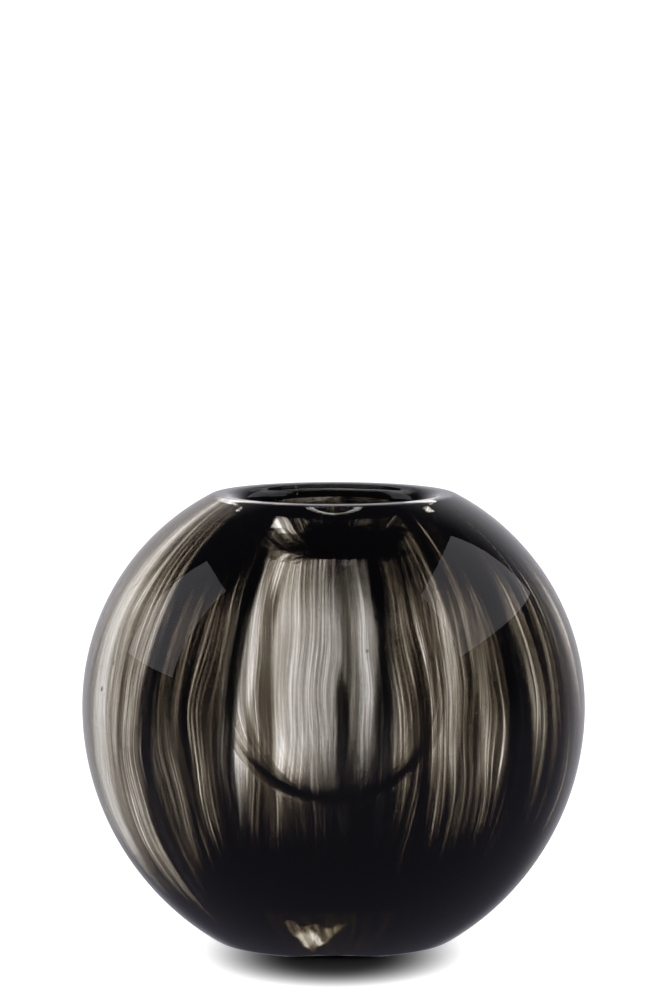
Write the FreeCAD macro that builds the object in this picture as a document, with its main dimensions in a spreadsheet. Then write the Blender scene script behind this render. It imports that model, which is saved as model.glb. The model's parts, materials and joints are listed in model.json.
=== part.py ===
import FreeCAD, Part
import math
import os
import Sketcher

# Glass bud vase: a heavy ball of cased glass, about 112 mm across and 100 mm tall.
# The base stands on z = 0, the axis of the ball is Z, and the front of the vase faces -Y.
#
# From the inside out it is made of
#   core         the clear gather that holds the funnel mouth, the neck and the bud cavity
#   colour_cup   a thin cup of near-black colour in the bottom of the ball
#   trail_NN     colour trails laid down the outside of the core, from the lip into the cup
#   casing       the last clear gather, which covers the colour and forms the lip and the foot

DIMENSIONS = {
    # Outside of the ball: two round arcs that meet at the widest level.
    "vase_height": 100.0,
    "belly_radius": 56.0,
    "belly_height": 52.4,
    "shoulder_offset": 2.6,      # centre of the upper arc, outwards from the axis
    "flank_offset": 4.36,        # centre of the lower arc, past the axis
    # Foot: a ground ring round a shallow hollow, with a low scallop at the front.
    "foot_round": 5.0,
    "punt_radius": 18.5,
    "punt_depth": 2.0,
    "scallop_height": 1.0,
    "scallop_radius": 61.0,
    # Lip: broad, fire-polished, nearly flat on top.
    "lip_outer_round": 3.0,
    "lip_inner_round": 3.4,
    "mouth_radius": 21.0,
    "seam_radius": 25.0,
    # Casing: an even wall over the shoulder, thickening to a clear heel.
    "casing_wall": 3.0,
    "heel_offset": 4.86,
    # Mouth, neck and cavity.
    "funnel_radius": 36.0,
    "neck_round": 5.0,
    "neck_height": 78.5,
    "cavity_radius": 17.0,
    "cavity_height": 54.0,
    "cavity_side_radius": 100.0,
    # Colour layer.
    "cup_rim": 30.0,
    "cup_wall": 2.5,
    "cup_gap_radius": 5.0,
    "cup_gap_x": 3.3,
    "cup_gap_y": 26.0,
    "trail_wall": 1.0,
    "trail_layer_top": 97.0,
    "trail_sector": 40.0,
    "trail_tip_ratio": 0.5,      # tip and foot widths against the width at the belly
    "trail_foot_ratio": 0.84,
    "trail_frame_width": 60.0,
    "trail_frame_height": 110.0,
}

# The trails, anticlockwise from the left of the front, as
# (degrees round from the front, width at the belly in degrees, height of the tip).
TRAILS = [
    (-56.2, 9.4, 99), (-48.0, 3.4, 96), (-41.5, 8.0, 99), (-32.3, 8.0, 99),
    (-24.4, 2.6, 94), (-17.4, 4.4, 86), (2.3, 2.4, 70), (11.8, 3.2, 92),
    (17.5, 6.4, 90), (24.9, 6.4, 94), (33.2, 4.6, 99), (42.4, 7.0, 99),
    (49.0, 4.6, 96), (55.6, 7.0, 99), (63.3, 6.4, 99), (72.4, 9.6, 99),
    (84.0, 8.0, 99), (95.5, 9.0, 99), (106.5, 7.0, 94), (118.0, 11.0, 99),
    (130.5, 8.0, 99), (142.0, 9.0, 97), (153.0, 6.0, 92), (176.0, 2.4, 62),
    (201.0, 6.0, 95), (211.5, 9.0, 99), (222.5, 8.0, 99), (234.0, 9.0, 99),
    (246.0, 8.0, 96), (257.5, 9.0, 99), (268.5, 7.0, 99),
]

START, END, CENTRE = 1, 2, 3     # the named points of a sketch edge
H_AXIS, V_AXIS = -1, -2          # the sketch's own axes

doc = FreeCAD.newDocument("GlassBudVase")
sheet = doc.addObject("Spreadsheet::Sheet", "Sheet")


def fill_sheet():
    """Write every driving dimension, and three for each trail, into the spreadsheet."""
    cells = dict(DIMENSIONS)
    for number, (azimuth, width, tip) in enumerate(TRAILS, 1):
        cells[f"trail{number:02d}_azimuth"] = azimuth
        cells[f"trail{number:02d}_width"] = width
        cells[f"trail{number:02d}_tip"] = tip
    for row, (alias, value) in enumerate(cells.items(), 1):
        sheet.set(f"A{row}", alias)
        sheet.set(f"B{row}", str(value))
        sheet.setAlias(f"B{row}", alias)
    doc.recompute()


def size(alias):
    """The value of one spreadsheet cell."""
    return float(sheet.get(alias))


def cell(expression):
    """An expression with Sheet. put before each alias."""
    words = expression.split(" ")
    return " ".join(f"Sheet.{word}" if hasattr(sheet, word) else word for word in words)


class Outline:
    """A closed outline in a sketch, drawn edge by edge and then dimensioned."""

    def __init__(self, body, name, plane):
        self.sketch = body.newObject("Sketcher::SketchObject", name)
        origin_plane = next(f for f in body.Origin.OriginFeatures if f.Role == plane)
        self.sketch.AttachmentSupport = [(origin_plane, "")]
        self.sketch.MapMode = "FlatFace"
        self.flipped = {}

    def line(self, start, end):
        """A straight edge from start to end; gives back its number."""
        edge = Part.LineSegment(FreeCAD.Vector(*start, 0), FreeCAD.Vector(*end, 0))
        return self.sketch.addGeometry(edge, False)

    def arc(self, start, end, centre, clockwise=False):
        """A round edge about centre; a clockwise one is stored from end to start."""
        first, last = (end, start) if clockwise else (start, end)
        angles = [math.atan2(p[1] - centre[1], p[0] - centre[0]) for p in (first, last)]
        circle = Part.Circle(FreeCAD.Vector(*centre, 0), FreeCAD.Vector(0, 0, 1),
                             math.dist(start, centre))
        number = self.sketch.addGeometry(Part.ArcOfCircle(circle, *angles), False)
        self.flipped[number] = clockwise
        return number

    def ends(self, edge):
        """The stored start and end points of an edge, in drawing order."""
        return (END, START) if self.flipped.get(edge) else (START, END)

    def rule(self, kind, *items):
        """A geometric constraint, such as PointOnObject or Horizontal."""
        self.sketch.addConstraint(Sketcher.Constraint(kind, *items))

    def join(self, first, second, tangent=False):
        """The end of one edge meets the start of the next, smoothly if tangent."""
        self.rule("Tangent" if tangent else "Coincident",
                  first, self.ends(first)[1], second, self.ends(second)[0])

    def size(self, kind, expression, *items):
        """A dimension bound to the spreadsheet."""
        start_value = self.sketch.evalExpression(cell(expression))
        index = self.sketch.addConstraint(Sketcher.Constraint(kind, *items, float(start_value)))
        self.sketch.setExpression(f"Constraints[{index}]", cell(expression))

    def place(self, edge, point, across=None, up=None):
        """Fix one point of an edge by its distance across and up from the origin."""
        if across is not None:
            self.size("DistanceX", across, -1, 1, edge, point)
        if up is not None:
            self.size("DistanceY", up, -1, 1, edge, point)


def fill_and_check(part_object):
    """Recompute, and stop if this object came out failed or empty."""
    doc.recompute()
    if {"Invalid", "Error"} & set(part_object.State) or part_object.Shape.isNull():
        raise RuntimeError(f"{part_object.Label} failed: {part_object.State}")


def new_body(label):
    """A PartDesign body whose name and label are its node's name."""
    body = doc.addObject("PartDesign::Body", label)
    body.Label = label
    return body


def revolve(body, outline, name):
    """Turn an outline right round the Z axis."""
    turn = body.newObject("PartDesign::Revolution", name)
    turn.Profile = outline.sketch
    turn.ReferenceAxis = (outline.sketch, ["V_Axis"])
    turn.Angle = 360.0
    outline.sketch.Visibility = False
    fill_and_check(turn)


def pocket(body, outline, name):
    """Cut an outline right through the body, on the far side of its sketch plane."""
    before = body.Shape.Volume
    cut = body.newObject("PartDesign::Pocket", name)
    cut.Profile = outline.sketch
    cut.Type = "ThroughAll"
    cut.Reversed = True
    fill_and_check(cut)
    if not 0 < cut.Shape.Volume < before:
        raise RuntimeError(f"{name} cut nothing")


def on_arc(centre, radius, height):
    """The point at a given height on the outer side of a round arc."""
    return centre[0] + math.sqrt(radius ** 2 - (height - centre[1]) ** 2), height


def bottom_of(centre, radius):
    """The lowest point of a round arc."""
    return centre[0], centre[1] - radius


def layer_arcs(depth):
    """Centres and radii of the upper and lower arcs that run depth below the casing wall."""
    reach = size("belly_radius") - size("casing_wall") - depth
    shoulder = (size("shoulder_offset"), size("belly_height"))
    heel = (size("heel_offset"), size("belly_height"))
    return shoulder, reach - shoulder[0], heel, reach - heel[0]


def seam_points():
    """The seam between casing and core, from under the shoulder to the mouth."""
    shoulder, shoulder_radius, _, _ = layer_arcs(0)
    rise = math.sqrt(shoulder_radius ** 2 - (size("seam_radius") - shoulder[0]) ** 2)
    return ((size("seam_radius"), shoulder[1] + rise),
            (size("mouth_radius"), size("vase_height") - size("lip_inner_round")))


def inner_ball(outline):
    """The surface under the casing: a flat floor, an arc up the heel, one over the shoulder."""
    shoulder, shoulder_radius, heel, heel_radius = layer_arcs(0)
    equator = (shoulder[0] + shoulder_radius, shoulder[1])
    heel_foot = bottom_of(heel, heel_radius)
    floor = outline.line((0.0, heel_foot[1]), heel_foot)
    lower = outline.arc(heel_foot, equator, heel)
    upper = outline.arc(equator, seam_points()[0], shoulder)
    outline.join(floor, lower, tangent=True)
    outline.join(lower, upper)
    outline.rule("PointOnObject", floor, START, V_AXIS)
    outline.rule("Horizontal", floor)
    outline.place(lower, CENTRE, "heel_offset", "belly_height")
    outline.place(upper, CENTRE, "shoulder_offset", "belly_height")
    outline.place(upper, START, "belly_radius - casing_wall", "belly_height")
    outline.place(upper, END, "seam_radius")
    return floor, upper


def build_core():
    """The clear core before the colour is let into it."""
    body = new_body("core_blank")
    outline = Outline(body, "core_outline", "XZ_Plane")
    floor, upper = inner_ball(outline)

    shoulder_seam, mouth_seam = seam_points()
    cavity_centre = (0.0, size("cavity_height"))
    cavity_side = (size("cavity_radius"), size("cavity_height"))
    cavity_bottom = (0.0, size("cavity_height") - size("cavity_radius"))
    side_radius = size("cavity_side_radius")
    side_centre = (size("cavity_radius") - side_radius, size("cavity_height"))

    # The neck is a round ring that bulges into the opening, between the funnel and the cavity.
    neck_round = size("neck_round")
    neck_centre = on_arc(side_centre, side_radius + neck_round, size("neck_height"))
    share = side_radius / (side_radius + neck_round)
    neck_foot = [s + share * (n - s) for s, n in zip(side_centre, neck_centre)]
    funnel_radius = size("funnel_radius")
    funnel_centre = meet_of_circles(mouth_seam, funnel_radius,
                                    neck_centre, funnel_radius + neck_round)
    share = funnel_radius / (funnel_radius + neck_round)
    neck_top = [f + share * (n - f) for f, n in zip(funnel_centre, neck_centre)]

    seam = outline.line(shoulder_seam, mouth_seam)
    funnel = outline.arc(mouth_seam, neck_top, funnel_centre, clockwise=True)
    neck = outline.arc(neck_top, neck_foot, neck_centre)
    side = outline.arc(neck_foot, cavity_side, side_centre, clockwise=True)
    bowl = outline.arc(cavity_side, cavity_bottom, cavity_centre, clockwise=True)
    axis = outline.line(cavity_bottom, (0.0, bottom_of(*layer_arcs(0)[2:])[1]))

    outline.join(upper, seam)
    outline.join(seam, funnel)
    outline.join(funnel, neck, tangent=True)
    outline.join(neck, side, tangent=True)
    outline.join(side, bowl)
    outline.join(bowl, axis)
    outline.join(axis, floor)
    outline.place(seam, END, "mouth_radius", "vase_height - lip_inner_round")
    outline.size("Radius", "funnel_radius", funnel)
    outline.size("Radius", "neck_round", neck)
    outline.place(neck, CENTRE, up="neck_height")
    outline.place(side, START, "cavity_radius", "cavity_height")
    outline.place(side, CENTRE, up="cavity_height")
    outline.size("Radius", "cavity_side_radius", side)
    outline.place(bowl, CENTRE, up="cavity_height")
    outline.rule("PointOnObject", bowl, CENTRE, V_AXIS)
    outline.rule("PointOnObject", axis, START, V_AXIS)
    revolve(body, outline, "core_turn")
    return body


def meet_of_circles(first, first_radius, second, second_radius):
    """The crossing of two circles that lies further from the wall of the mouth."""
    gap = math.dist(first, second)
    along = (gap ** 2 + first_radius ** 2 - second_radius ** 2) / (2 * gap)
    aside = math.sqrt(first_radius ** 2 - along ** 2)
    unit = [(s - f) / gap for f, s in zip(first, second)]
    return (first[0] + along * unit[0] + aside * unit[1],
            first[1] + along * unit[1] - aside * unit[0])


def build_casing():
    """The clear casing: ball, lip and foot, hollow where the core sits."""
    body = new_body("casing")
    outline = Outline(body, "casing_outline", "XZ_Plane")
    inner_floor, inner_upper = inner_ball(outline)

    height, belly = size("vase_height"), (size("belly_radius"), size("belly_height"))
    shoulder = (size("shoulder_offset"), belly[1])
    shoulder_radius = belly[0] - shoulder[0]
    flank = (-size("flank_offset"), belly[1])
    flank_radius = belly[0] - flank[0]
    shoulder_seam, mouth_seam = seam_points()

    # Small rounds that roll inside the big arcs: at the outside of the lip and at the foot.
    lip_round = size("lip_outer_round")
    lip_centre = on_arc(shoulder, shoulder_radius - lip_round, height - lip_round)
    share = shoulder_radius / (shoulder_radius - lip_round)
    lip_edge = [s + share * (c - s) for s, c in zip(shoulder, lip_centre)]
    foot_round = size("foot_round")
    foot_centre = on_arc(flank, flank_radius - foot_round, foot_round)
    share = flank_radius / (flank_radius - foot_round)
    foot_edge = [s + share * (c - s) for s, c in zip(flank, foot_centre)]

    lip_inner_centre = (mouth_seam[0] + size("lip_inner_round"), mouth_seam[1])
    foot_ring = (size("punt_radius"), 0.0)
    punt_top = (0.0, size("punt_depth"))
    punt_rise = (size("punt_radius") ** 2 - size("punt_depth") ** 2) / (2 * size("punt_depth"))

    seam = outline.line(shoulder_seam, mouth_seam)
    lip_inner = outline.arc(mouth_seam, (lip_inner_centre[0], height), lip_inner_centre,
                            clockwise=True)
    lip_top = outline.line((lip_inner_centre[0], height), (lip_centre[0], height))
    lip_outer = outline.arc((lip_centre[0], height), lip_edge, lip_centre, clockwise=True)
    upper = outline.arc(lip_edge, belly, shoulder, clockwise=True)
    lower = outline.arc(belly, foot_edge, flank, clockwise=True)
    foot = outline.arc(foot_edge, (foot_centre[0], 0.0), foot_centre, clockwise=True)
    ring = outline.line((foot_centre[0], 0.0), foot_ring)
    punt = outline.arc(foot_ring, punt_top, (0.0, -punt_rise))
    axis = outline.line(punt_top, (0.0, bottom_of(*layer_arcs(0)[2:])[1]))

    outline.join(inner_upper, seam)
    outline.join(seam, lip_inner)
    outline.join(lip_inner, lip_top, tangent=True)
    outline.join(lip_top, lip_outer, tangent=True)
    outline.join(lip_outer, upper, tangent=True)
    outline.join(upper, lower)
    outline.join(lower, foot, tangent=True)
    outline.join(foot, ring, tangent=True)
    outline.join(ring, punt)
    outline.join(punt, axis)
    outline.join(axis, inner_floor)
    outline.place(seam, END, "mouth_radius", "vase_height - lip_inner_round")
    outline.size("Radius", "lip_inner_round", lip_inner)
    outline.rule("Horizontal", lip_top)
    outline.place(lip_top, START, up="vase_height")
    outline.size("Radius", "lip_outer_round", lip_outer)
    outline.place(upper, CENTRE, "shoulder_offset", "belly_height")
    outline.place(upper, START, "belly_radius", "belly_height")
    outline.place(lower, CENTRE, "0 - flank_offset", "belly_height")
    outline.size("Radius", "foot_round", foot)
    outline.rule("Horizontal", ring)
    outline.rule("PointOnObject", ring, END, H_AXIS)
    outline.place(ring, END, "punt_radius")
    outline.rule("PointOnObject", punt, CENTRE, V_AXIS)
    outline.rule("PointOnObject", axis, START, V_AXIS)
    outline.place(axis, START, up="punt_depth")
    revolve(body, outline, "casing_turn")
    cut_foot_scallop(body)
    return body


def cut_foot_scallop(body):
    """A low arch ground into the front of the foot ring."""
    outline = Outline(body, "scallop_outline", "XZ_Plane")
    circle = Part.Circle(FreeCAD.Vector(0, size("scallop_height") - size("scallop_radius"), 0),
                         FreeCAD.Vector(0, 0, 1), size("scallop_radius"))
    edge = outline.sketch.addGeometry(circle, False)
    outline.rule("PointOnObject", edge, CENTRE, V_AXIS)
    outline.place(edge, CENTRE, up="scallop_height - scallop_radius")
    outline.size("Radius", "scallop_radius", edge)
    pocket(body, outline, "foot_scallop")


def build_cup():
    """The near-black cup, open at the top and with one round gap at the front."""
    body = new_body("colour_cup")
    outline = Outline(body, "cup_outline", "XZ_Plane")
    rim_height = size("cup_rim")
    _, _, heel, outer_radius = layer_arcs(0)
    inner_radius = outer_radius - size("cup_wall")

    outer_foot, inner_foot = bottom_of(heel, outer_radius), bottom_of(heel, inner_radius)
    under = outline.line((0.0, outer_foot[1]), outer_foot)
    outer = outline.arc(outer_foot, on_arc(heel, outer_radius, rim_height), heel)
    rim = outline.line(on_arc(heel, outer_radius, rim_height),
                       on_arc(heel, inner_radius, rim_height))
    inner = outline.arc(on_arc(heel, inner_radius, rim_height), inner_foot, heel, clockwise=True)
    floor = outline.line(inner_foot, (0.0, inner_foot[1]))
    axis = outline.line((0.0, inner_foot[1]), (0.0, outer_foot[1]))

    outline.join(under, outer, tangent=True)
    outline.join(outer, rim)
    outline.join(rim, inner)
    outline.join(inner, floor, tangent=True)
    outline.join(floor, axis)
    outline.join(axis, under)
    outline.rule("Horizontal", rim)
    outline.rule("Horizontal", under)
    outline.rule("Horizontal", floor)
    outline.place(rim, START, up="cup_rim")
    for edge in (outer, inner):
        outline.place(edge, CENTRE, "heel_offset", "belly_height")
    outline.size("Radius", "belly_radius - casing_wall - heel_offset", outer)
    outline.size("Radius", "belly_radius - casing_wall - cup_wall - heel_offset", inner)
    outline.rule("PointOnObject", axis, START, V_AXIS)
    outline.rule("PointOnObject", axis, END, V_AXIS)
    revolve(body, outline, "cup_turn")

    gap = Outline(body, "cup_gap_outline", "XY_Plane")
    circle = Part.Circle(FreeCAD.Vector(-size("cup_gap_x"), -size("cup_gap_y"), 0),
                         FreeCAD.Vector(0, 0, 1), size("cup_gap_radius"))
    edge = gap.sketch.addGeometry(circle, False)
    gap.place(edge, CENTRE, "0 - cup_gap_x", "0 - cup_gap_y")
    gap.size("Radius", "cup_gap_radius", edge)
    pocket(body, gap, "cup_gap")
    return body


def draw_trail_section(body, name):
    """The section of the colour layer, from the cup's rim to just under the lip."""
    outline = Outline(body, f"{name}_section", "XZ_Plane")
    rim, top = size("cup_rim"), size("trail_layer_top")
    shoulder, shoulder_radius, heel, heel_radius = layer_arcs(0)
    wall = size("trail_wall")
    equator = (shoulder[0] + shoulder_radius, shoulder[1])
    inner_equator = (equator[0] - wall, equator[1])

    outer_lower = outline.arc(on_arc(heel, heel_radius, rim), equator, heel)
    outer_upper = outline.arc(equator, on_arc(shoulder, shoulder_radius, top), shoulder)
    tip = outline.line(on_arc(shoulder, shoulder_radius, top),
                       on_arc(shoulder, shoulder_radius - wall, top))
    inner_upper = outline.arc(on_arc(shoulder, shoulder_radius - wall, top), inner_equator,
                              shoulder, clockwise=True)
    inner_lower = outline.arc(inner_equator, on_arc(heel, heel_radius - wall, rim), heel,
                              clockwise=True)
    foot = outline.line(on_arc(heel, heel_radius - wall, rim), on_arc(heel, heel_radius, rim))

    edges = [outer_lower, outer_upper, tip, inner_upper, inner_lower, foot]
    for first, second in zip(edges, edges[1:] + edges[:1]):
        outline.join(first, second)
    for edge in (outer_lower, inner_lower):
        outline.place(edge, CENTRE, "heel_offset", "belly_height")
    for edge in (outer_upper, inner_upper):
        outline.place(edge, CENTRE, "shoulder_offset", "belly_height")
    outline.place(outer_upper, START, "belly_radius - casing_wall", "belly_height")
    outline.place(inner_upper, START, "belly_radius - casing_wall - trail_wall", "belly_height")
    for edge, level in ((tip, "trail_layer_top"), (foot, "cup_rim")):
        outline.rule("Horizontal", edge)
        outline.place(edge, START, up=level)
    return outline


def draw_trail_blade(body, name, width_cell, tip_cell):
    """A frame round the blade of one trail; what lies between the two is cut away.

    The blade has a round tip, is widest at the belly and narrows a little to the foot.
    """
    outline = Outline(body, f"{name}_blade", "YZ_Plane")
    frame_width, frame_height = size("trail_frame_width"), size("trail_frame_height")
    corners = [(-frame_width / 2, 0), (frame_width / 2, 0),
               (frame_width / 2, frame_height), (-frame_width / 2, frame_height)]
    frame = [outline.line(a, b) for a, b in zip(corners, corners[1:] + corners[:1])]
    for first, second in zip(frame, frame[1:] + frame[:1]):
        outline.join(first, second)
    outline.rule("Horizontal", frame[0])
    outline.rule("Vertical", frame[1])
    outline.rule("Horizontal", frame[2])
    outline.rule("Vertical", frame[3])
    outline.place(frame[0], END, "trail_frame_width / 2", "0")
    outline.place(frame[2], END, "0 - trail_frame_width / 2", "trail_frame_height")

    reach = size("belly_radius") - size("casing_wall")
    half = reach * math.sin(math.radians(size(width_cell) / 2))
    half_text = f"( belly_radius - casing_wall ) * sin( {width_cell} * 1 deg / 2 )"
    tip_half, foot_half = half * size("trail_tip_ratio"), half * size("trail_foot_ratio")
    belly, foot_height = size("belly_height"), size("cup_rim") / 2
    tip_height = size(tip_cell) - tip_half
    points = [(foot_half, foot_height), (half, belly), (tip_half, tip_height),
              (-tip_half, tip_height), (-half, belly), (-foot_half, foot_height)]
    right_low, right_high = [outline.line(a, b) for a, b in zip(points[:2], points[1:3])]
    tip = outline.arc(points[2], points[3], (0.0, tip_height))
    left_high, left_low = [outline.line(a, b) for a, b in zip(points[3:5], points[4:])]
    foot = outline.line(points[5], points[0])
    blade = [right_low, right_high, tip, left_high, left_low, foot]
    for first, second in zip(blade, blade[1:] + blade[:1]):
        outline.join(first, second)
    outline.place(right_low, START, f"{half_text} * trail_foot_ratio", "cup_rim / 2")
    outline.place(right_high, START, half_text, "belly_height")
    outline.rule("PointOnObject", tip, CENTRE, V_AXIS)
    outline.place(tip, CENTRE, up=f"{tip_cell} - {half_text} * trail_tip_ratio")
    outline.size("Radius", f"{half_text} * trail_tip_ratio", tip)
    outline.rule("Horizontal", tip, START, tip, CENTRE)
    outline.rule("Horizontal", tip, END, tip, CENTRE)
    outline.rule("Symmetric", right_high, START, left_low, START, V_AXIS)
    outline.rule("Symmetric", foot, START, foot, END, V_AXIS)
    return outline


def build_trail(number):
    """One colour trail: a sector of the colour layer, cut to its blade and turned into place."""
    name = f"trail_{number:02d}"
    alias = f"trail{number:02d}"
    body = new_body(name)
    section = draw_trail_section(body, name)
    turn = body.newObject("PartDesign::Revolution", f"{name}_sector")
    turn.Profile = section.sketch
    turn.ReferenceAxis = (section.sketch, ["V_Axis"])
    turn.Midplane = True
    turn.setExpression("Angle", cell("trail_sector"))
    fill_and_check(turn)
    blade = draw_trail_blade(body, name, f"{alias}_width", f"{alias}_tip")
    pocket(body, blade, f"{name}_sides")
    body.Placement.Rotation.Axis = FreeCAD.Vector(0, 0, 1)
    body.setExpression("Placement.Rotation.Angle", cell(f"{alias}_azimuth - 90"))
    return body


def let_colour_in(blank, colours):
    """The finished core: its blank with the beds of the cup and the trails cut away."""
    beds = doc.addObject("Part::Compound", "colour_beds")
    beds.Links = colours
    core = doc.addObject("Part::Cut", "core")
    core.Base = blank
    core.Tool = beds
    core.Label = "core"
    return core


def export(nodes):
    """Check every object, then write one STEP file for each node."""
    failed = [o.Name for o in doc.Objects if {"Invalid", "Error"} & set(o.State)]
    empty = [n.Label for n in nodes if n.Shape.isNull() or not n.Shape.isValid()]
    if failed or empty:
        raise RuntimeError(f"failed objects {failed}, empty or invalid nodes {empty}")
    os.makedirs("parts", exist_ok=True)
    for node in nodes:
        node.Shape.exportStep(f"parts/{node.Label}.step")
        print(f"{node.Label}: {len(node.Shape.Solids)} solid, {node.Shape.Volume:.0f} mm3")


def main():
    fill_sheet()
    casing = build_casing()
    blank = build_core()
    cup = build_cup()
    trails = [build_trail(number) for number in range(1, len(TRAILS) + 1)]
    core = let_colour_in(blank, [cup] + trails)
    doc.recompute()
    export([casing, core, cup] + trails)


main()
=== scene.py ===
import json
import math

import bpy
import numpy as np
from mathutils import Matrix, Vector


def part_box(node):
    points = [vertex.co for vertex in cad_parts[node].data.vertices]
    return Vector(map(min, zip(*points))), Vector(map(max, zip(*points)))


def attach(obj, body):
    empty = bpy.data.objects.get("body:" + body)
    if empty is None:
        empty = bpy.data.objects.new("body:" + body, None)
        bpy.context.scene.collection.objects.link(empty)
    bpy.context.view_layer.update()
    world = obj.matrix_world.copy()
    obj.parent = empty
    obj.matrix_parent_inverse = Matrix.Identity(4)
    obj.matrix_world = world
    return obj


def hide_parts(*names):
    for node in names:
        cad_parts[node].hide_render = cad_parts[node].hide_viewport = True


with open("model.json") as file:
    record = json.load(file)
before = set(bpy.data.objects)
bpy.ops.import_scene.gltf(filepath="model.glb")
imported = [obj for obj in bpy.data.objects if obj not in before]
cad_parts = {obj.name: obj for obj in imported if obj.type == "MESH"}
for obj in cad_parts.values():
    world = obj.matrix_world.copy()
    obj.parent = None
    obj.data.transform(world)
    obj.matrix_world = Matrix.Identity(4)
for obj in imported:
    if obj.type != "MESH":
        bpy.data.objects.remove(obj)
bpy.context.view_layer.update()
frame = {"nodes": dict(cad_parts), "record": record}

# A glass bud vase: clear casing, clear core with a funnel mouth and a small cavity, and
# between them dark colour trails that run down from the lip into a near-black cup of colour.
# The front faces -Y. Lengths below are in millimetres unless a name says otherwise.

MM = 0.001
BELLY_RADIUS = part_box("casing")[1][0] / MM
VASE_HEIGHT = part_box("casing")[1][2] / MM
LAYER_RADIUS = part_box("core")[1][0] / MM        # where the casing ends and the colour begins
CUP_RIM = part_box("colour_cup")[1][2] / MM
BELLY_HEIGHT = 52.4

# Mesh: points round the axis, and the distance between points along an outline.
SEGMENTS = 256
STEP = 0.7
BOUNDARY_STEP = 1.4
OPENING_STEP = 0.6
FUNNEL_STEP = 0.5
ROUND_STEP = 0.3
LIP_STEP = 0.15
FOOT_RING_POINTS = 6
SHARP_ANGLE = math.radians(35)
TINY = 1e-6

# Outside: an arc over the shoulder and one down the flank, with rounds at lip and foot.
SHOULDER_OFFSET = 2.6
FLANK_OFFSET = -4.36
LIP_OUTER_ROUND = 3.0
LIP_INNER_ROUND = 3.4
FOOT_ROUND = 5.0
PUNT_RADIUS = 18.5
PUNT_DEPTH = 2.0
MOUTH_RADIUS = 21.0
SEAM_RADIUS = 25.0
SCALLOP_HEIGHT = 1.0
SCALLOP_RADIUS = 61.0
SCALLOP_REACH = 12.0    # sideways, beyond where its arch meets the floor
SCALLOP_SKIN = 1.2      # only points lower than this are lifted

# Under the casing: the heel arc starts at a flat floor.
HEEL_OFFSET = 4.86
LAYER_GAP = 0.03

# The opening: funnel, neck and cavity.
FUNNEL_RADIUS = 36.0
NECK_ROUND = 5.0
NECK_HEIGHT = 78.5
CAVITY_RADIUS = 17.0
CAVITY_HEIGHT = 54.0
CAVITY_SIDE_RADIUS = 100.0
WATER_LINE = 78.5       # the cavity wall is wet up to the neck

# The wobble of the blown walls, and the distances over which it dies away.
OUTER_WOBBLE = 0.12
OPENING_WOBBLE = 0.25
CALM_ABOVE_FOOT = 14.0
CALM_BELOW_MOUTH = 8.0
CALM_NEAR_AXIS = 6.0

# Colour trails. Densities are optical: 1 lets a tenth of the light through, 2 a hundredth.
TRAIL_FOOT = 8.0        # where a trail ends under the cup's edge
FRONT_FOOT = 14.0       # higher at the front, where the cup has its gap
FRONT_SPAN = math.radians(28)
VEIL_TOP = 93.0         # the smoke between trails reaches this high beside a short trail
TRAIL_ROWS, TRAIL_COLUMNS = 120, 41
BLADE_SPREAD = 1.08     # the blown trail is a little wider than its CAD blade
TIP_FADE = 9.0          # height over which a short trail's tip fades
LONG_TIP = 96.0         # trails that reach this high run into the lip without a tip
GATHER = (75.0, 90.0)   # heights between which the trails draw together
GATHER_ALL, GATHER_FRONT = 0.7, 0.7     # how much denser that makes them, all round and in front
TIP_RATIO = 0.5
FOOT_RATIO = 0.84
TIP_TAPER, TIP_LEAST = 0.9, 0.05
BLADE_EDGE = (0.55, 1.25)               # shares of the half-width between which a trail fades
BLADE_SOFTNESS = 0.012                  # more of that fade, in radians
BLADE_WAVES = [(0.16, 9.0, 170.0), (0.1, 4.1, 0.0)]     # size, length, phase per half-width
MEANDER, MEANDER_LENGTH = math.radians(0.7), 15
LEAN, LEAN_HEIGHT = math.radians(0.5), 20
FILM = 0.15             # thickness of a trail's film
FILM_GAP = 0.05         # between the films of two layers
FIRST_INSET = 0.1       # from the casing to the first film
CUP_INSET = 0.97
CORE_INSET = 1.25       # the core's boundary lies under all the films
MIN_FADE = math.radians(2.0)
LAYERS = 4              # neighbouring trails lie at different depths, so no two films meet
SHADE_DENSITY = {"black_glass": 2.0, "dark_brown_glass": 1.3, "brown_glass": 1.0,
                 "smoke_glass": 0.68}
# Density of the smoke between trails, by degrees round from the front.
VEIL = [(-90, 0.6), (-77, 0.7), (-73, 0.2), (-68, 0.12), (-65.5, 0.5), (-53, 0.6), (-47, 1.0),
        (-27, 1.05), (-23, 0.3), (-19, 0.22), (-13, 0.24), (-8, 0.38), (0, 0.6), (5, 0.68),
        (14, 0.75), (24, 0.8), (29, 0.36), (36, 0.75), (41, 1.1), (60, 1.2), (80, 1.0), (100, 0.4),
        (120, 0.2), (165, 0.12), (195, 0.12), (240, 0.2), (255, 0.4)]
# How strong the trails are compared with their shade, by degrees round from the front.
STRENGTH = [(-90, 0.9), (-60, 1.0), (-45, 1.1), (-25, 1.05), (-19, 0.7), (-12, 0.7),
            (-6, 0.95), (28, 0.95), (38, 1.1), (70, 1.15), (95, 0.9), (120, 0.45), (150, 0.35),
            (180, 0.5), (205, 0.35), (240, 0.6)]
POOL_DENSITY = 2.3
POOL_BLEND = (-14, 12)  # from above its edge to below it, where the trails turn into deep colour
CUP_BLEND = (-4, 8)     # the same for the cup's own film
CUP_COLUMNS = 321
CUP_MARGIN = 4.0        # the cup's film reaches this far above its CAD rim
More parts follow.
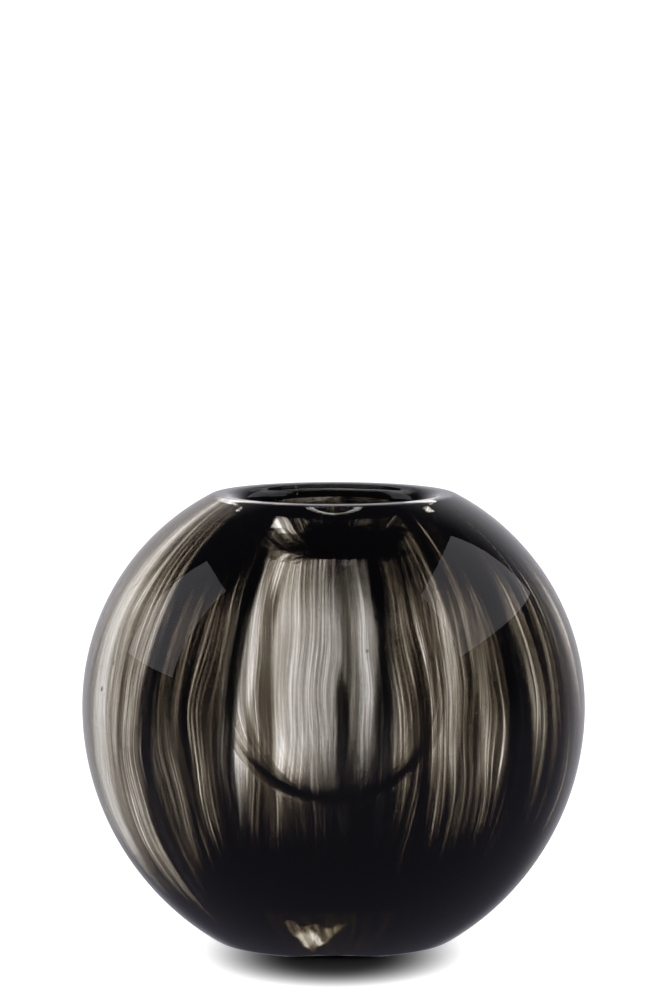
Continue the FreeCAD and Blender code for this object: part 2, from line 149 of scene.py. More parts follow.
# Height that the deep colour reaches, by degrees round from the front.
POOL_EDGE = [(-90, 18), (-65, 14), (-50, 15), (-40, 22), (-30, 32), (-20, 36), (-10, 39),
             (0, 40), (11, 42), (21, 40), (30, 34), (39, 33), (47, 41), (60, 44), (90, 39),
             (120, 25), (150, 14), (180, 11), (210, 14), (245, 20)]
EDGE_RIPPLES = [(1.3, 17, 1.0), (1.0, 41, 0.0)]     # height, waves round the vase, phase

# The cup's one gap, at the front: distances in front of the axis, and sideways.
GAP_POINT = 15.0
GAP_TOP = 28.5
GAP_MIDDLE = -4.2
GAP_HALF_WIDTH = 6.6
# Thin spots in it: where (sideways, in front), half size, lean, and how much is missing.
GAP_SPOTS = [((-6.0, 21.2), (2.2, 4.6), 0.0, 0.65), ((-3.1, 22.0), (0.95, 4.8), 0.3, 0.85)]

# Seed bubbles in the casing: degrees from the front, height, radius.
SEEDS = [(-67, 59, 0.42), (-63, 65, 0.3), (-38, 81, 0.26), (8, 71, 0.3), (27, 83, 0.24),
         (34, 57, 0.22), (74, 62, 0.3), (128, 70, 0.35), (190, 58, 0.3), (236, 76, 0.28)]
BUBBLE_RINGS, BUBBLE_SPOKES = 9, 16
BUBBLE_STRETCH = 1.3

# Studio, in metres and in radiance, where paper white is 1.
FLOOR_SIDE = 12.0
# Grey of the paper in the core of the painted contact shadow, and how much it gains outside it.
PAPER_SHADOW_GREY, PAPER_RANGE = 0.05, 0.88
# Painted glow of the paper, as emission: its strength near the vase and far off, and the distances,
# in metres, over which it falls.
GLOW_NEAR, GLOW_FAR = 0.8, 0.12
GLOW_FADE = (0.07, 0.25)
WHITE = (1.25, 1.25, 1.25, 1)
FRONT_LOW, FRONT_HIGH = (0.12, 0.115, 0.15, 1), (0.04, 0.04, 0.05, 1)
BACK_LOW, BACK_HIGH = (0.12, 0.115, 0.14, 1), (0.62, 0.61, 0.66, 1)
SOFTBOX_COLOUR = (0.94, 0.92, 1.0)
CONTACT = (0.006, 0.033)    # radii, in metres, between which the drawn contact shadow fades
# Stretch and forward shift, in metres, of the painted contact shadow.
CONTACT_SHADOW_SHAPE = (1.0, 0.7, 0.0)
CONTACT_SHADOW_SHIFT = (0.0, 0.017, 0.0)

GLASS_IOR = 1.5
WATER_IOR = 1.333
WET_IOR = GLASS_IOR / WATER_IOR

# Noise in the colour, in cells per radian and per metre of height.
SWAY_CELLS = (3.5, 30.0)
BAND_CELLS = (15.0, 24.0)
THREAD_CELLS = (34.0, 26.0)
HAIR_CELLS = (110.0, 20.0)
SWAY = 0.13             # how far, in radians, the threads sway
BAND_SHARE = 0.7        # how strong the broad bands are compared with the threads
LEAST_SHARE = 0.12      # of the colour that is left in the lightest thread
DROWNING_DENSITY = 1.9  # where the colour is deeper than this, it drowns the threads
BROWN_TINT = (0.93, 1.0, 1.12)
BLACK_TINT = (0.96, 1.0, 1.05)
CUP_TINT = (0.91, 1.0, 1.22)


# ---------------------------------------------------------------- outlines

def arc(centre, radius, start, end, step=STEP):
    """Points along a round arc from angle start to angle end, in degrees."""
    count = max(3, int(abs(math.radians(end - start)) * radius / step) + 1)
    angles = np.radians(np.linspace(start, end, count))
    return [(centre[0] + radius * math.cos(a), centre[1] + radius * math.sin(a)) for a in angles]


def bearing(centre, point):
    """The angle of point seen from centre, in degrees."""
    return math.degrees(math.atan2(point[1] - centre[1], point[0] - centre[0]))


def reach(centre, radius, height):
    """Distance from the axis of an arc's outer side at one height."""
    return centre[0] + math.sqrt(radius ** 2 - (height - centre[1]) ** 2)


def layer(depth):
    """Shoulder and heel arcs of the surface that lies depth under the inside of the casing."""
    shoulder, heel = (SHOULDER_OFFSET, BELLY_HEIGHT), (HEEL_OFFSET, BELLY_HEIGHT)
    return (shoulder, LAYER_RADIUS - depth - SHOULDER_OFFSET,
            heel, LAYER_RADIUS - depth - HEEL_OFFSET)


def layer_radius(depth, height):
    """Distance from the axis to that surface at one height."""
    shoulder, shoulder_radius, heel, heel_radius = layer(depth)
    if height > BELLY_HEIGHT:
        return reach(shoulder, shoulder_radius, height)
    return reach(heel, heel_radius, max(height, BELLY_HEIGHT - heel_radius))


def layer_outline(depth):
    """That surface's outline, from the middle of its flat floor up to the seam."""
    shoulder, shoulder_radius, heel, heel_radius = layer(depth)
    seam_radius = SEAM_RADIUS - depth
    seam_rise = math.sqrt(shoulder_radius ** 2 - (seam_radius - shoulder[0]) ** 2)
    floor = BELLY_HEIGHT - heel_radius
    seam_angle = math.degrees(math.atan2(seam_rise, seam_radius - shoulder[0]))
    lower = arc(heel, heel_radius, -90, 0, BOUNDARY_STEP)
    upper = arc(shoulder, shoulder_radius, 0, seam_angle, BOUNDARY_STEP)
    return [(0.0, floor), (HEEL_OFFSET / 2, floor)] + lower + upper[1:]


def outside_outline():
    """The outside of the casing, from the middle of the punt round to the mouth."""
    shoulder, flank = (SHOULDER_OFFSET, BELLY_HEIGHT), (FLANK_OFFSET, BELLY_HEIGHT)
    shoulder_radius, flank_radius = BELLY_RADIUS - shoulder[0], BELLY_RADIUS - flank[0]
    foot = (reach(flank, flank_radius - FOOT_ROUND, FOOT_ROUND), FOOT_ROUND)
    lip_height = VASE_HEIGHT - LIP_OUTER_ROUND
    lip = (reach(shoulder, shoulder_radius - LIP_OUTER_ROUND, lip_height), lip_height)
    inner_lip = (MOUTH_RADIUS + LIP_INNER_ROUND, VASE_HEIGHT - LIP_INNER_ROUND)
    punt_radius = (PUNT_RADIUS ** 2 + PUNT_DEPTH ** 2) / (2 * PUNT_DEPTH)
    punt_centre = (0.0, PUNT_DEPTH - punt_radius)
    foot_angle, lip_angle = bearing(flank, foot), bearing(shoulder, lip)
    punt_angle = bearing(punt_centre, (PUNT_RADIUS, 0))
    ring = [(r, 0.0) for r in np.linspace(PUNT_RADIUS, foot[0], FOOT_RING_POINTS)[:-1]]
    return (arc(punt_centre, punt_radius, 90, punt_angle, BOUNDARY_STEP)[:-1]
            + ring
            + arc(foot, FOOT_ROUND, -90, foot_angle, ROUND_STEP)[:-1]
            + arc(flank, flank_radius, foot_angle, 0)[:-1]
            + arc(shoulder, shoulder_radius, 0, lip_angle)[:-1]
            + arc(lip, LIP_OUTER_ROUND, lip_angle, 90, LIP_STEP)
            + arc(inner_lip, LIP_INNER_ROUND, 90, 180, ROUND_STEP))


def crossing(first, first_radius, second, second_radius):
    """The crossing of two circles that lies further from the wall of the mouth."""
    gap = math.dist(first, second)
    along = (gap ** 2 + first_radius ** 2 - second_radius ** 2) / (2 * gap)
    aside = math.sqrt(first_radius ** 2 - along ** 2)
    unit = [(s - f) / gap for f, s in zip(first, second)]
    return (first[0] + along * unit[0] + aside * unit[1],
            first[1] + along * unit[1] - aside * unit[0])


def opening_outline():
    """The wall of the opening, from the mouth down the funnel and neck into the cavity."""
    mouth = (MOUTH_RADIUS, VASE_HEIGHT - LIP_INNER_ROUND)
    side = (CAVITY_RADIUS - CAVITY_SIDE_RADIUS, CAVITY_HEIGHT)
    neck = (reach(side, CAVITY_SIDE_RADIUS + NECK_ROUND, NECK_HEIGHT), NECK_HEIGHT)
    funnel = crossing(mouth, FUNNEL_RADIUS, neck, FUNNEL_RADIUS + NECK_ROUND)
    funnel_ends = bearing(funnel, mouth), bearing(funnel, neck)
    neck_ends = bearing(neck, funnel), bearing(neck, side) + 360
    return (arc(funnel, FUNNEL_RADIUS, *funnel_ends, FUNNEL_STEP)[:-1]
            + arc(neck, NECK_ROUND, *neck_ends, ROUND_STEP)[:-1]
            + arc(side, CAVITY_SIDE_RADIUS, bearing(side, neck), 0, OPENING_STEP)[:-1]
            + arc((0.0, CAVITY_HEIGHT), CAVITY_RADIUS, 0, -90, OPENING_STEP))


# ---------------------------------------------------------------- hand-blown shape

def wander(angle, height, seed):
    """A slow wobble between about -1 and 1 over the ball, different for each seed."""
    return (0.45 * np.sin(2 * angle + 0.9 * seed + height / 31)
            + 0.30 * np.sin(3 * angle - 1.7 * seed - height / 19)
            + 0.25 * np.sin(5 * angle + 2.3 * seed + height / 13))


def blown(points, angle, wobble, seed):
    """The outline's points drawn in by up to wobble, as a hand-blown wall is at this angle."""
    radius, height = points[:, 0], points[:, 1]
    below_mouth = VASE_HEIGHT - LIP_INNER_ROUND - height
    calm = np.minimum(height / CALM_ABOVE_FOOT, below_mouth / CALM_BELOW_MOUTH)
    calm = np.clip(calm, 0, 1) * np.clip(radius / CALM_NEAR_AXIS, 0, 1)
    drawn_in = np.array(wobble) * calm * (1 - wander(angle, height, seed)) / 2
    return np.stack([radius - drawn_in, height], axis=1)


def turned(outline, wobble, seed):
    """Vertices and faces of an outline turned round the axis; ends on the axis are shared."""
    points = np.array(outline, float)
    on_axis = points[:, 0] < TINY
    vertices, rows = [], []
    for index, point in enumerate(points):
        if on_axis[index]:
            rows.append([len(vertices)] * SEGMENTS)
            vertices.append((0.0, 0.0, point[1]))
        else:
            rows.append(list(range(len(vertices), len(vertices) + SEGMENTS)))
            vertices.extend([(0.0, 0.0, 0.0)] * SEGMENTS)
    for turn in range(SEGMENTS):
        angle = 2 * math.pi * turn / SEGMENTS
        for index, (radius, height) in enumerate(blown(points, angle, wobble, seed)):
            if not on_axis[index]:
                vertices[rows[index][turn]] = (radius * math.sin(angle),
                                               -radius * math.cos(angle), height)
    faces = []
    for low, high in zip(rows, rows[1:]):
        for turn in range(SEGMENTS):
            after = (turn + 1) % SEGMENTS
            corners = [low[turn], low[after], high[after], high[turn]]
            faces.append(list(dict.fromkeys(corners)))
    return np.array(vertices), faces


def new_piece(name, vertices, faces, slot, node, materials, face_material=None):
    """A smooth mesh piece that rides on the body and stands for its CAD node."""
    mesh = bpy.data.meshes.new(name)
    mesh.from_pydata([tuple(v) for v in np.asarray(vertices) * MM], [], faces)
    for material in materials:
        mesh.materials.append(material)
    if face_material is not None:
        mesh.polygons.foreach_set("material_index", face_material)
    mesh.polygons.foreach_set("use_smooth", [True] * len(mesh.polygons))
    mesh.set_sharp_from_angle(angle=SHARP_ANGLE)
    mesh.update()
    piece = bpy.data.objects.new(name, mesh)
    bpy.context.scene.collection.objects.link(piece)
    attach(piece, "root")
    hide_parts(node)
    return piece


# ---------------------------------------------------------------- materials

class Nodes:
    """A short way to write the nodes of a material or a world."""

    def __init__(self, holder):
        self.holder = holder
        holder.use_nodes = True
        self.tree = holder.node_tree
        self.tree.nodes.clear()

    def add(self, kind, inputs=None, **settings):
        """A node with its settings, and its inputs set or linked."""
        node = self.tree.nodes.new(kind)
        for key, value in settings.items():
            setattr(node, key, value)
        for key, value in (inputs or {}).items():
            if isinstance(value, bpy.types.NodeSocket):
                self.tree.links.new(value, node.inputs[key])
            else:
                node.inputs[key].default_value = value
        return node

    def math(self, operation, first, second):
        """The result of one Math node."""
        return self.add("ShaderNodeMath", {0: first, 1: second}, operation=operation).outputs[0]

    def step(self, value, low, high, start=0.0, end=1.0):
        """A smooth change from start to end as value goes from low to high."""
        limits = {"Value": value, "From Min": low, "From Max": high, "To Min": start, "To Max": end}
        return self.add("ShaderNodeMapRange", limits,
                        interpolation_type="SMOOTHSTEP").outputs["Result"]

    def blend(self, share, low, high):
        """A colour that goes from low to high as share goes from 0 to 1."""
        return self.add("ShaderNodeMix", {"Factor": share, "A": low, "B": high},
                        data_type="RGBA").outputs["Result"]

    def finish(self, shader, output="ShaderNodeOutputMaterial"):
        """Link the shader to the output; gives back the material or world."""
        self.add(output, {"Surface": shader})
        return self.holder


def glass(name, ior=GLASS_IOR, roughness=0.0, cells=55.0, strength=0.04, height=0.001):
    """Clear glass, with the ripple of a blown surface or the grit of a ground one."""
    n = Nodes(bpy.data.materials.new(name))
    place = n.add("ShaderNodeTexCoord").outputs["Object"]
    ripple = n.add("ShaderNodeTexNoise", {"Vector": place, "Scale": cells, "Detail": 1.0})
    bump = n.add("ShaderNodeBump", {"Height": ripple.outputs["Fac"], "Strength": strength,
                                    "Distance": height})
    shader = n.add("ShaderNodeBsdfPrincipled",
                   {"Base Color": (1, 1, 1, 1), "Roughness": roughness, "IOR": ior,
                    "Transmission Weight": 1.0, "Normal": bump.outputs["Normal"]})
    return n.finish(shader.outputs[0])


def fused_joint():
    """The boundary where two layers of the same glass are fused, which bends no light."""
    n = Nodes(bpy.data.materials.new("fused_joint"))
    return n.finish(n.add("ShaderNodeBsdfTransparent", {"Color": (1, 1, 1, 1)}).outputs[0])


def colour_glass(name, tint, threads, hairs):
    """Coloured glass seen by what it lets through: darker where the colour lies deeper.

    The mesh attribute colour_depth holds how much colour there is at each place. Threads and
    hairs, both drawn out along the meridians, make it uneven. tint gives how strongly red,
    green and blue are held back.
    """
    n = Nodes(bpy.data.materials.new(name))
    place = n.add("ShaderNodeSeparateXYZ",
                  {0: n.add("ShaderNodeTexCoord").outputs["Object"]}).outputs
    azimuth = n.math("ARCTAN2", place["X"], n.math("MULTIPLY", place["Y"], -1.0))

    def drawn_out(cells, detail, roughness, source):
        """Noise with this many cells round the vase and along its height."""
        spread = n.add("ShaderNodeCombineXYZ", {"X": n.math("MULTIPLY", source, cells[0]),
                                                "Y": n.math("MULTIPLY", place["Z"], cells[1])})
        return n.add("ShaderNodeTexNoise", {"Vector": spread.outputs[0], "Scale": 1.0,
                                            "Detail": detail,
                                            "Roughness": roughness}).outputs["Fac"]

    sway = drawn_out(SWAY_CELLS, 1.0, 0.5, azimuth)
    swayed = n.math("ADD", azimuth, n.math("MULTIPLY", sway, SWAY))
    thread = drawn_out(THREAD_CELLS, 3.0, 0.65, swayed)
    hair = drawn_out(HAIR_CELLS, 2.0, 0.6, swayed)
    band = drawn_out(BAND_CELLS, 1.0, 0.5, swayed)
    density = n.add("ShaderNodeAttribute", attribute_name="colour_depth").outputs["Fac"]

    # Share of the colour that is left: less in the light threads and lighter bands.
    light = n.math("MULTIPLY", n.math("SUBTRACT", thread, 0.5), threads)
    slow = n.math("MULTIPLY", n.math("SUBTRACT", band, 0.5), threads * BAND_SHARE)
    fine = n.math("MULTIPLY", n.math("SUBTRACT", hair, 0.5), hairs)
    share = n.math("ADD", n.math("ADD", light, slow), n.math("ADD", fine, 1.0))
    share = n.math("MAXIMUM", share, LEAST_SHARE)
    deep = n.math("MAXIMUM", n.math("SUBTRACT", density, DROWNING_DENSITY), 0.0)
    total = n.math("ADD", n.math("MULTIPLY", density, share), deep)
    film = n.add("ShaderNodeCombineColor",
                 {channel: n.math("POWER", 10.0, n.math("MULTIPLY", total, -0.5 * strength))
                  for channel, strength in zip(("Red", "Green", "Blue"), tint)})
    clear = n.add("ShaderNodeBsdfTransparent", {"Color": film.outputs[0]})
    return n.finish(clear.outputs[0])


# ---------------------------------------------------------------- colour

def smooth(value, low, high):
    """0 below low, 1 above high and an even curve between."""
    share = np.clip((value - low) / (high - low), 0.0, 1.0)
    return share * share * (3 - 2 * share)


def around(table, azimuth):
    """The value of a table of (degrees from the front, value) at an angle, all the way round."""
    degrees, values = zip(*(table + [(table[0][0] + 360, table[0][1])]))
    start = math.radians(degrees[0])
    return np.interp(np.degrees((np.asarray(azimuth) - start) % math.tau + start),
                     degrees, values)


def cup_edge(azimuth):
    """Height that the deep colour reaches, with a ragged edge."""
    return around(POOL_EDGE, azimuth) + sum(size * np.sin(waves * azimuth + phase)
                                            for size, waves, phase in EDGE_RIPPLES)


def trail_facts(name):
    """Azimuth, half-width at the belly, and height of the tip of one trail, from CAD."""
    node = frame["nodes"][name]
    points = np.array([node.matrix_world @ v.co for v in node.data.vertices]) / MM
    mean = points[:, :2].mean(axis=0)
    azimuth = math.atan2(mean[0], -mean[1])
    across = points[:, 0] * math.cos(azimuth) + points[:, 1] * math.sin(azimuth)
    return azimuth, np.abs(across).max(), points[:, 2].max()


def blade_width(height, half, tip):
    """Half-width of a trail: widest at the belly, narrow at a round tip."""
    up = np.clip((height - BELLY_HEIGHT) / (tip - BELLY_HEIGHT), 0, 1)
    down = np.clip((BELLY_HEIGHT - height) / BELLY_HEIGHT, 0, 1)
    width = half * (1 - (1 - TIP_RATIO) * up - (1 - FOOT_RATIO) * down)
    width = width * (1 + sum(size * np.sin(height / length + phase * half)
                             for size, length, phase in BLADE_WAVES))
    into_tip = np.clip((height - (tip - half * TIP_RATIO)) / (half * TIP_RATIO), 0, 1)
    return width * np.sqrt(np.maximum(1 - TIP_TAPER * into_tip ** 2, TIP_LEAST))


def film_piece(name, heights, columns, azimuth_of, density_of, inset, slot, node, material):
    """A thin closed film of colour: outer and inner faces with a shared rim.

    azimuth_of(u, height) and density_of(u, azimuth, height) give where each point lies and
    how much colour is there, for u from -1 to 1 across the film.
    """
    u = np.linspace(-1, 1, columns)
    vertices, densities = [], []
    for depth in (inset, inset + FILM):
        for height in heights:
            radius = layer_radius(depth, height)
            azimuth = azimuth_of(u, height)
            vertices.append(np.stack([radius * np.sin(azimuth), -radius * np.cos(azimuth),
                                      np.full(columns, height)], axis=1))
            densities.append(density_of(u, azimuth, height))
    vertices, densities = np.concatenate(vertices), np.concatenate(densities)
    rows, size = len(heights), len(heights) * columns
    faces = []
    for row in range(rows - 1):
        for column in range(columns - 1):
            a = row * columns + column
            faces.append((a, a + 1, a + columns + 1, a + columns))
            faces.append((size + a, size + a + columns, size + a + columns + 1, size + a + 1))
    rim = (list(range(columns))
           + [row * columns + columns - 1 for row in range(1, rows)]
           + [(rows - 1) * columns + column for column in range(columns - 2, -1, -1)]
           + [row * columns for row in range(rows - 2, 0, -1)])
    for a, b in zip(rim, rim[1:] + rim[:1]):
        faces.append((a, a + size, b + size, b))
    piece = new_piece(name, vertices, faces, slot, node, [material])
    attribute = piece.data.attributes.new("colour_depth", "FLOAT", "POINT")
    attribute.data.foreach_set("value", densities)


def make_trail(number, name, facts, before, after, slot, material):
    """One colour trail, with a thin veil that reaches to the trails before and after it."""
    azimuth, half, tip = facts
    inset = FIRST_INSET + (FILM + FILM_GAP) * (number % LAYERS)
    foot = FRONT_FOOT if abs(azimuth) < FRONT_SPAN else TRAIL_FOOT
    heights = np.linspace(foot, max(tip, VEIL_TOP), TRAIL_ROWS)
    # The veil fades out from this trail's edge to the near edge of each neighbour.
    own = half * BLADE_SPREAD / LAYER_RADIUS
    fade_before = (azimuth - before[0]) % math.tau - before[1] / LAYER_RADIUS - own
    fade_after = (after[0] - azimuth) % math.tau - after[1] / LAYER_RADIUS - own
    fade_before, fade_after = max(fade_before, MIN_FADE), max(fade_after, MIN_FADE)

    def meander(height):
        """How far the trail strays from its meridian at this height."""
        return (MEANDER * math.sin(height / MEANDER_LENGTH + 2.1 * number)
                + LEAN * math.sin(3.1 * number) * (height - BELLY_HEIGHT) / LEAN_HEIGHT)

    def azimuth_of(u, height):
        half_span = own + np.where(u < 0, fade_before, fade_after)
        # More points near the middle, where the blade's edges are.
        return azimuth + meander(height) + half_span * np.sign(u) * np.abs(u) ** 1.3

    def density_of(u, angle, height):
        radius = layer_radius(inset, height)
        away = np.abs(angle - azimuth - meander(height))
        blade = blade_width(height, half * BLADE_SPREAD, tip) / radius
        inside = 1 - smooth(away, blade * BLADE_EDGE[0], blade * BLADE_EDGE[1] + BLADE_SOFTNESS)
        if tip < LONG_TIP:
            inside = inside * (1 - smooth(height, tip - TIP_FADE, tip))
        share = 1 - np.clip((away - own) / np.where(u < 0, fade_before, fade_after), 0, 1)
        # The trails draw together under the lip, most of all at the front.
        frontness = np.maximum(np.cos(angle), 0)
        gather = 1 + (GATHER_ALL + GATHER_FRONT * frontness) * smooth(height, *GATHER)
        pool = smooth(cup_edge(angle) - height, *POOL_BLEND)
        return (SHADE_DENSITY[slot] * around(STRENGTH, angle) * inside * gather * (1 - pool)
                + around(VEIL, angle) * share * gather * (1 - inside)
                + POOL_DENSITY * pool * share)

    film_piece(name + "_colour", heights, TRAIL_COLUMNS, azimuth_of, density_of, inset, slot,
               name, material)


def make_cup(material):
    """The near-black cup in the bottom, feathered at its rim, with its gap at the front."""
    floor = BELLY_HEIGHT - layer(CUP_INSET)[3] + 0.05
    top = CUP_RIM + CUP_MARGIN
    heights = np.concatenate([floor + 3 * np.linspace(0.0, 1, 28) ** 2,
                              np.linspace(floor + 3.4, top, 60)])

    def azimuth_of(u, _height):
        # The two ends stop just short of each other at the back.
        return u * math.pi * (1 - 1e-5)

    def density_of(_u, angle, height):
        radius = layer_radius(CUP_INSET, height)
        body = smooth(np.minimum(cup_edge(angle), CUP_RIM) - height, *CUP_BLEND)
        aside, ahead = radius * np.sin(angle), radius * np.cos(angle)
        # The gap's sides and top waver a little, and fine streaks cross it.
        rise = (ahead - GAP_POINT) / (GAP_TOP - GAP_POINT)
        slant = aside + 0.25 * np.sin(1.1 * ahead)
        into_gap = np.minimum(rise - np.abs(slant - GAP_MIDDLE) / GAP_HALF_WIDTH,
                              2.5 * (1 - rise) + 0.15 * np.sin(1.3 * aside))
        left = 0.5 + 0.1 * np.sin(3.2 * aside + 0.8 * ahead)
        for centre, size, lean, thinned in GAP_SPOTS:
            across = aside - centre[0] + lean * (ahead - centre[1])
            spot = np.hypot(across / size[0], (ahead - centre[1]) / size[1])
            left = left * (1 - thinned * (1 - smooth(spot, 0.7, 1.15)))
        return POOL_DENSITY * body * (1 - (1 - left) * smooth(into_gap, -0.02, 0.12))

    film_piece("colour_cup_film", heights, CUP_COLUMNS, azimuth_of, density_of, CUP_INSET,
               "black_glass", "colour_cup", material)


# ---------------------------------------------------------------- glass

def bubble(centre, radius, first):
    """A small seed bubble: vertices and inward-facing faces, numbered from first."""
    rings, spokes = BUBBLE_RINGS, BUBBLE_SPOKES
    vertices, faces = [], []
    for ring in range(rings):
        tilt = math.pi * (ring + 0.5) / rings
        for spoke in range(spokes):
            turn = math.tau * spoke / spokes
            vertices.append((centre[0] + radius * math.sin(tilt) * math.cos(turn),
                             centre[1] + radius * math.sin(tilt) * math.sin(turn),
                             centre[2] + BUBBLE_STRETCH * radius * math.cos(tilt)))
    for ring in range(rings - 1):
        for spoke in range(spokes):
            a, b = ring * spokes + spoke, ring * spokes + (spoke + 1) % spokes
            faces.append([first + a, first + b, first + b + spokes, first + a + spokes])
    faces.append([first + spoke for spoke in reversed(range(spokes))])
    faces.append([first + (rings - 1) * spokes + spoke for spoke in range(spokes)])
    return vertices, faces


def make_casing(clear, ground, joint):
    """The clear casing with its lip and foot, closed inside by its fused boundary."""
    outside = outside_outline()
    inside = layer_outline(-LAYER_GAP)[::-1]
    wobble = [OUTER_WOBBLE] * len(outside) + [0.0] * len(inside)
    vertices, faces = turned(outside + inside, wobble, seed=1.0)
    # The scallop ground into the front of the foot.
    front = ((vertices[:, 1] < 0) & (np.abs(vertices[:, 0]) < SCALLOP_REACH)
             & (vertices[:, 2] < SCALLOP_SKIN))
    arch = (SCALLOP_HEIGHT - SCALLOP_RADIUS
            + np.sqrt(SCALLOP_RADIUS ** 2 - vertices[:, 0] ** 2))
    vertices[:, 2] = np.where(front, np.maximum(vertices[:, 2], arch), vertices[:, 2])
    # One material per band of faces: polished, ground where the foot stands, fused inside.
    kinds = []
    for (_, below), (_, above) in zip(outside, outside[1:]):
        kinds += [2 if max(below, above) < TINY else 0] * SEGMENTS
    kinds += [1] * (SEGMENTS * len(inside))
    for azimuth, height, radius in SEEDS:
        mid_wall = (reach((SHOULDER_OFFSET, BELLY_HEIGHT), BELLY_RADIUS - SHOULDER_OFFSET, height)
                    + layer_radius(0, height)) / 2
        angle = math.radians(azimuth)
        centre = (mid_wall * math.sin(angle), -mid_wall * math.cos(angle), height)
        more_vertices, more_faces = bubble(centre, radius, len(vertices))
        vertices = np.concatenate([vertices, more_vertices])
        faces += more_faces
        kinds += [0] * len(more_faces)
    new_piece("casing_glass", vertices, faces, "clear_glass", "casing",
              [clear, joint, ground], kinds)


def make_core(clear, joint, wet):
    """The clear core: fused boundary outside, polished wall inside the opening."""
    opening = opening_outline()
    boundary = layer_outline(CORE_INSET)
    wobble = [0.0] * len(boundary) + [OPENING_WOBBLE] * len(opening)
    vertices, faces = turned(boundary + opening, wobble, seed=2.6)
    kinds = [1] * (SEGMENTS * len(boundary))
    for _, height in opening[1:]:
        kinds += [2 if height < WATER_LINE else 0] * SEGMENTS
    new_piece("core_glass", vertices, faces, "clear_glass", "core",
              [clear, joint, wet], kinds)


# ---------------------------------------------------------------- studio

def make_floor():
    """A wide white floor with a painted contact shadow and glow, left out of the vase's
    reflections.
    """
    mesh = bpy.data.meshes.new("floor")
    side = FLOOR_SIDE
    mesh.from_pydata([(-side, -side, 0), (side, -side, 0), (side, side, 0), (-side, side, 0)],
                     [], [(0, 1, 2, 3)])
    n = Nodes(bpy.data.materials.new("floor_paper"))
    # A contact shadow is painted into the paper's colour: as if lit from behind, it reaches towards
    # the front.
    place = n.add("ShaderNodeTexCoord").outputs["Object"]
    drawn = n.add("ShaderNodeVectorMath", {0: place, 1: CONTACT_SHADOW_SHAPE, 2: CONTACT_SHADOW_SHIFT},
                  operation="MULTIPLY_ADD").outputs[0]
    near = n.add("ShaderNodeVectorMath", {0: drawn}, operation="LENGTH").outputs["Value"]
    # lit is 0 in the painted shadow's core and 1 outside it; it darkens the paper's colour.
    lit = n.math("POWER", n.step(near, *CONTACT), 2.0)
    grey = n.math("ADD", n.math("MULTIPLY", lit, PAPER_RANGE), PAPER_SHADOW_GREY)
    shade = n.add("ShaderNodeCombineColor", {"Red": grey, "Green": grey, "Blue": grey})
    paper = n.add("ShaderNodeBsdfPrincipled", {"Base Color": shade.outputs[0],
                                               "Roughness": 0.9, "Specular IOR Level": 0.1})
    # The paper glows well past white near the vase, a painted pool of light like the one a
    # photographer's lamps give a white sweep; the glow is cut out under the painted contact shadow.
    away = n.add("ShaderNodeVectorMath", {0: place}, operation="LENGTH").outputs["Value"]
    bright = n.step(away, *GLOW_FADE, GLOW_NEAR, GLOW_FAR)
    glow = n.add("ShaderNodeEmission", {"Strength": n.math("MULTIPLY", lit, bright)})
    both = n.add("ShaderNodeAddShader", {0: paper.outputs[0], 1: glow.outputs[0]})
    mesh.materials.append(n.finish(both.outputs[0]))
    floor = bpy.data.objects.new("floor", mesh)
    floor.visible_glossy = False
    bpy.context.scene.collection.objects.link(floor)


def make_world():
    """White all round, except that outward reflections see a dark room, pale at the back."""
    n = Nodes(bpy.data.worlds.new("studio"))
    place = n.add("ShaderNodeTexCoord").outputs["Generated"]
    towards = n.add("ShaderNodeSeparateXYZ", {0: place}).outputs
    front = n.blend(n.step(towards["Z"], -0.3, 0.2), FRONT_LOW, FRONT_HIGH)
    back = n.blend(n.step(towards["Z"], -0.6, -0.05), BACK_LOW, BACK_HIGH)
    room = n.blend(n.step(towards["Y"], 0.55, 1.0), front, back)
    # A ray that has passed through glass counts as glossy too, so those are taken off.
    path = n.add("ShaderNodeLightPath").outputs
    outward = n.math("SUBTRACT", path["Is Glossy Ray"], path["Is Transmission Ray"])
    seen = n.blend(n.math("MAXIMUM", outward, 0.0), WHITE, room)
    background = n.add("ShaderNodeBackground", {"Color": seen})
    bpy.context.scene.world = n.finish(background.outputs[0], "ShaderNodeOutputWorld")


def make_softbox(name, side, corner, size, radiance):
    """An upright softbox beside the vase; corner is its lower front corner, as (y, z)."""
    light = bpy.data.lights.new(name, "AREA")
    light.shape = "RECTANGLE"
    light.size, light.size_y = size
    light.energy = radiance * math.pi * size[0] * size[1]
    light.color = SOFTBOX_COLOUR
    box = bpy.data.objects.new(name, light)
    box.location = (side, corner[0] + size[0] / 2, corner[1] + size[1] / 2)
    box.rotation_euler = (math.pi / 2, 0.0, math.copysign(math.pi / 2, side))
    box.visible_camera = False
    box.visible_transmission = False
    bpy.context.scene.collection.objects.link(box)


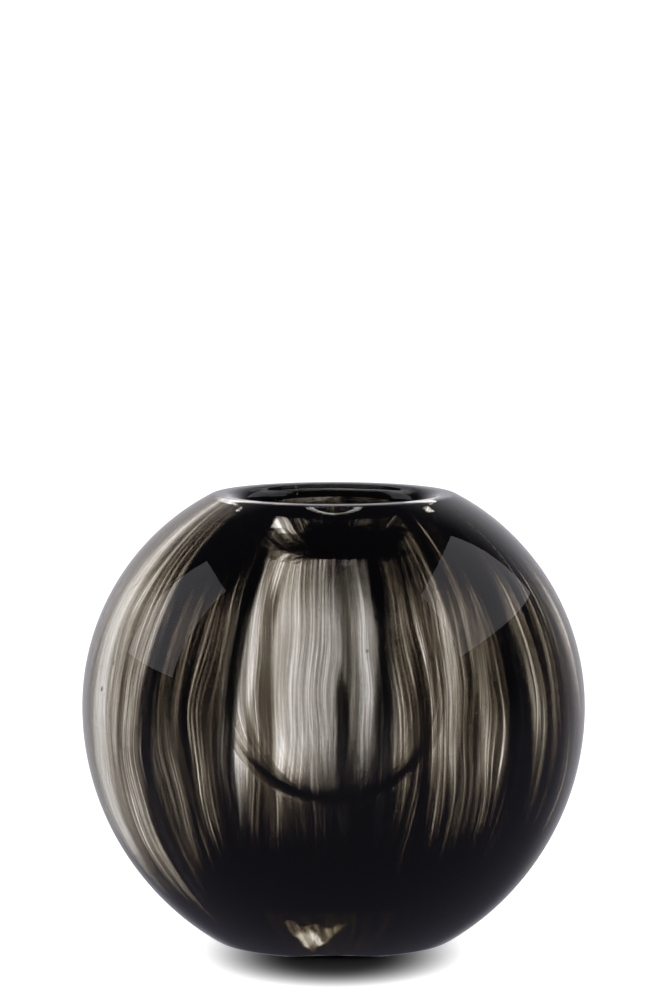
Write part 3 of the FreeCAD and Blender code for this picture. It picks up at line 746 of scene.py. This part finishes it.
def make_camera():
    """A long lens a little above the rim, looking down by under six degrees."""
    distance, elevation, target = 1.3, math.radians(5.7), 0.0985
    camera = bpy.data.cameras.new("camera")
    camera.lens = 211.0
    camera.sensor_width = 36.0
    eye = bpy.data.objects.new("camera", camera)
    eye.location = (0.0, -distance * math.cos(elevation), target + distance * math.sin(elevation))
    eye.rotation_euler = (math.pi / 2 - elevation, 0.0, 0.0)
    bpy.context.scene.collection.objects.link(eye)
    bpy.context.scene.camera = eye


def make_studio():
    """Floor, world, lights, camera and the light paths that nested glass needs."""
    make_floor()
    make_world()
    make_softbox("softbox_left", -1.05, (-0.20, 0.285), (0.66, 1.0), 0.7)
    make_softbox("softbox_right", 1.05, (-0.50, 0.56), (1.5, 1.0), 0.7)
    make_camera()
    scene = bpy.context.scene
    scene.view_settings.view_transform = "Standard"
    cycles = scene.cycles
    cycles.max_bounces = 24
    cycles.transmission_bounces = 24
    cycles.transparent_max_bounces = 48
    cycles.glossy_bounces = 12
    cycles.caustics_refractive = False
    cycles.caustics_reflective = False


def make_vase():
    """Every piece of the vase."""
    clear, joint = glass("clear_glass"), fused_joint()
    ground = glass("ground_glass", roughness=0.35, cells=2500.0, strength=0.3, height=0.0001)
    # Below the water line the cavity is drawn full, and water takes most of the bend away.
    wet = glass("wet_glass", ior=WET_IOR)
    make_casing(clear, ground, joint)
    make_core(clear, joint, wet)
    shades = {
        "black_glass": colour_glass("black_glass", BLACK_TINT, threads=1.8, hairs=1.6),
        "dark_brown_glass": colour_glass("dark_brown_glass", BROWN_TINT, threads=2.3, hairs=2.6),
        "brown_glass": colour_glass("brown_glass", BROWN_TINT, threads=2.3, hairs=2.8),
        "smoke_glass": colour_glass("smoke_glass", BROWN_TINT, threads=2.3, hairs=3.0)}
    make_cup(colour_glass("cup_glass", CUP_TINT, threads=1.2, hairs=0.5))
    slots = {part["node"]: part["material_slot"] for part in frame["record"]["subparts"]}
    names = sorted(name for name in slots if name.startswith("trail_"))
    facts = [trail_facts(name) for name in names]
    for number, name in enumerate(names):
        before, after = facts[number - 1], facts[(number + 1) % len(facts)]
        make_trail(number, name, facts[number], before, after, slots[name],
                   shades[slots[name]])


make_vase()
make_studio()
